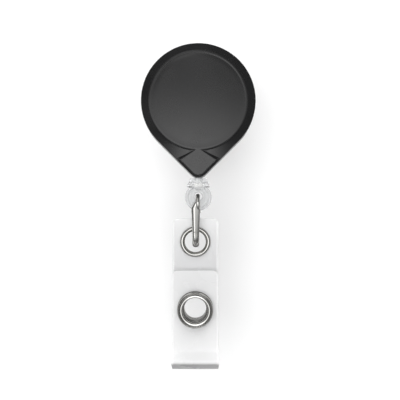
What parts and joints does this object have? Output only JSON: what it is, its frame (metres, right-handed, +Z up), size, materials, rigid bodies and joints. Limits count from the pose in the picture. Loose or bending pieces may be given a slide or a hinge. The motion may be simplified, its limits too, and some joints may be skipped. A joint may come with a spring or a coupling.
{
  "type": "retractable badge reel",
  "caption": "Retractable badge reel: drop-shaped case with sprung spool and belt clip, cord, clear cord end, gated snap hook, folded clear strap with ring snap.",
  "frame": {"origin": "on the spool axis, in the middle of the belt gap between the rivet head and the clip's leg", "axes": "+Z up towards the top of the case, the strap hangs towards -Z; -Y is the front of the case, +Y the belt clip side; +X is to the right seen from the front"},
  "size_m": [0.0318, 0.0141, 0.0912],
  "materials": {
    "case_front": "satin black moulded plastic",
    "case_back": "black moulded plastic, lightly textured",
    "spool": "natural white acetal",
    "spring_cover": "stamped thin washer",
    "mainspring": "blued spring strip",
    "cord": "off-white braided nylon",
    "cord_end": "clear moulded plastic",
    "hook": "nickel plate over zinc, satin",
    "gate": "nickel plate",
    "strap": "frosted translucent vinyl, slightly glossy",
    "eyelet": "bright nickel plate",
    "snap": "bright nickel plate",
    "belt_clip": "nickel-plated spring steel",
    "rivet": "nickel plate"
  },
  "bodies": {
    "case": {"front_shell": "case_front", "back_shell": "case_back", "clip_base": "belt_clip", "clip_rivet": "rivet", "mainspring": "mainspring", "cord_lead": "cord"},
    "spool": {"spool": "spool", "spring_cover": "spring_cover", "cord_coil": "cord"},
    "clip_leg": {"clip_tongue": "belt_clip"},
    "cord_end": {"cord_end": "cord_end", "cord_knot": "cord"},
    "hook": {"hook_frame": "hook", "gate_pin": "gate"},
    "gate": {"hook_gate": "gate"},
    "strap": {"strap_back": "strap", "eyelet": "eyelet", "eyelet_washer": "eyelet", "snap_stud": "snap", "snap_post": "snap"},
    "flap": {"strap_flap": "strap", "snap_ring": "snap", "snap_socket": "snap"}
  },
  "joints": [
    {"name": "cord_pull", "type": "slide", "parent": "case", "child": "cord_end", "axis": [0, 0, -1], "range_m": [0, 0.86], "stiffness_N_per_m": 0.6, "springref_m": -0.5, "deforming": ["cord_lead"]},
    {"name": "spool_spin", "type": "hinge", "parent": "case", "child": "spool", "pos_m": [0, -0.00632, 0], "axis": [0, 1, 0], "range_deg": [0, 4320], "deforming": ["mainspring"]},
    {"name": "clip_flex", "type": "hinge", "parent": "case", "child": "clip_leg", "pos_m": [0, -0.00178, 0.0116], "axis": [1, 0, 0], "range_deg": [0, 10]},
    {"name": "hook_swing", "type": "hinge", "parent": "cord_end", "child": "hook", "pos_m": [0, -0.00632, -0.02637], "axis": [0, 1, 0], "range_deg": [-60, 60]},
    {"name": "gate_open", "type": "hinge", "parent": "hook", "child": "gate", "pos_m": [-0.0007, -0.00248, -0.03062], "axis": [-1, 0, 0], "range_deg": [0, 25]},
    {"name": "strap_swing", "type": "hinge", "parent": "hook", "child": "strap", "pos_m": [-0.00085, -0.00632, -0.03605], "axis": [1, 0, 0], "range_deg": [-35, 35]},
    {"name": "flap_open", "type": "hinge", "parent": "strap", "child": "flap", "pos_m": [-0.00085, -0.01232, -0.0719], "axis": [1, 0, 0], "range_deg": [0, 150]}
  ],
  "couplings": [
    {"joint": "spool_spin", "follows": "cord_pull", "rad_per_m": 87.67}
  ]
}
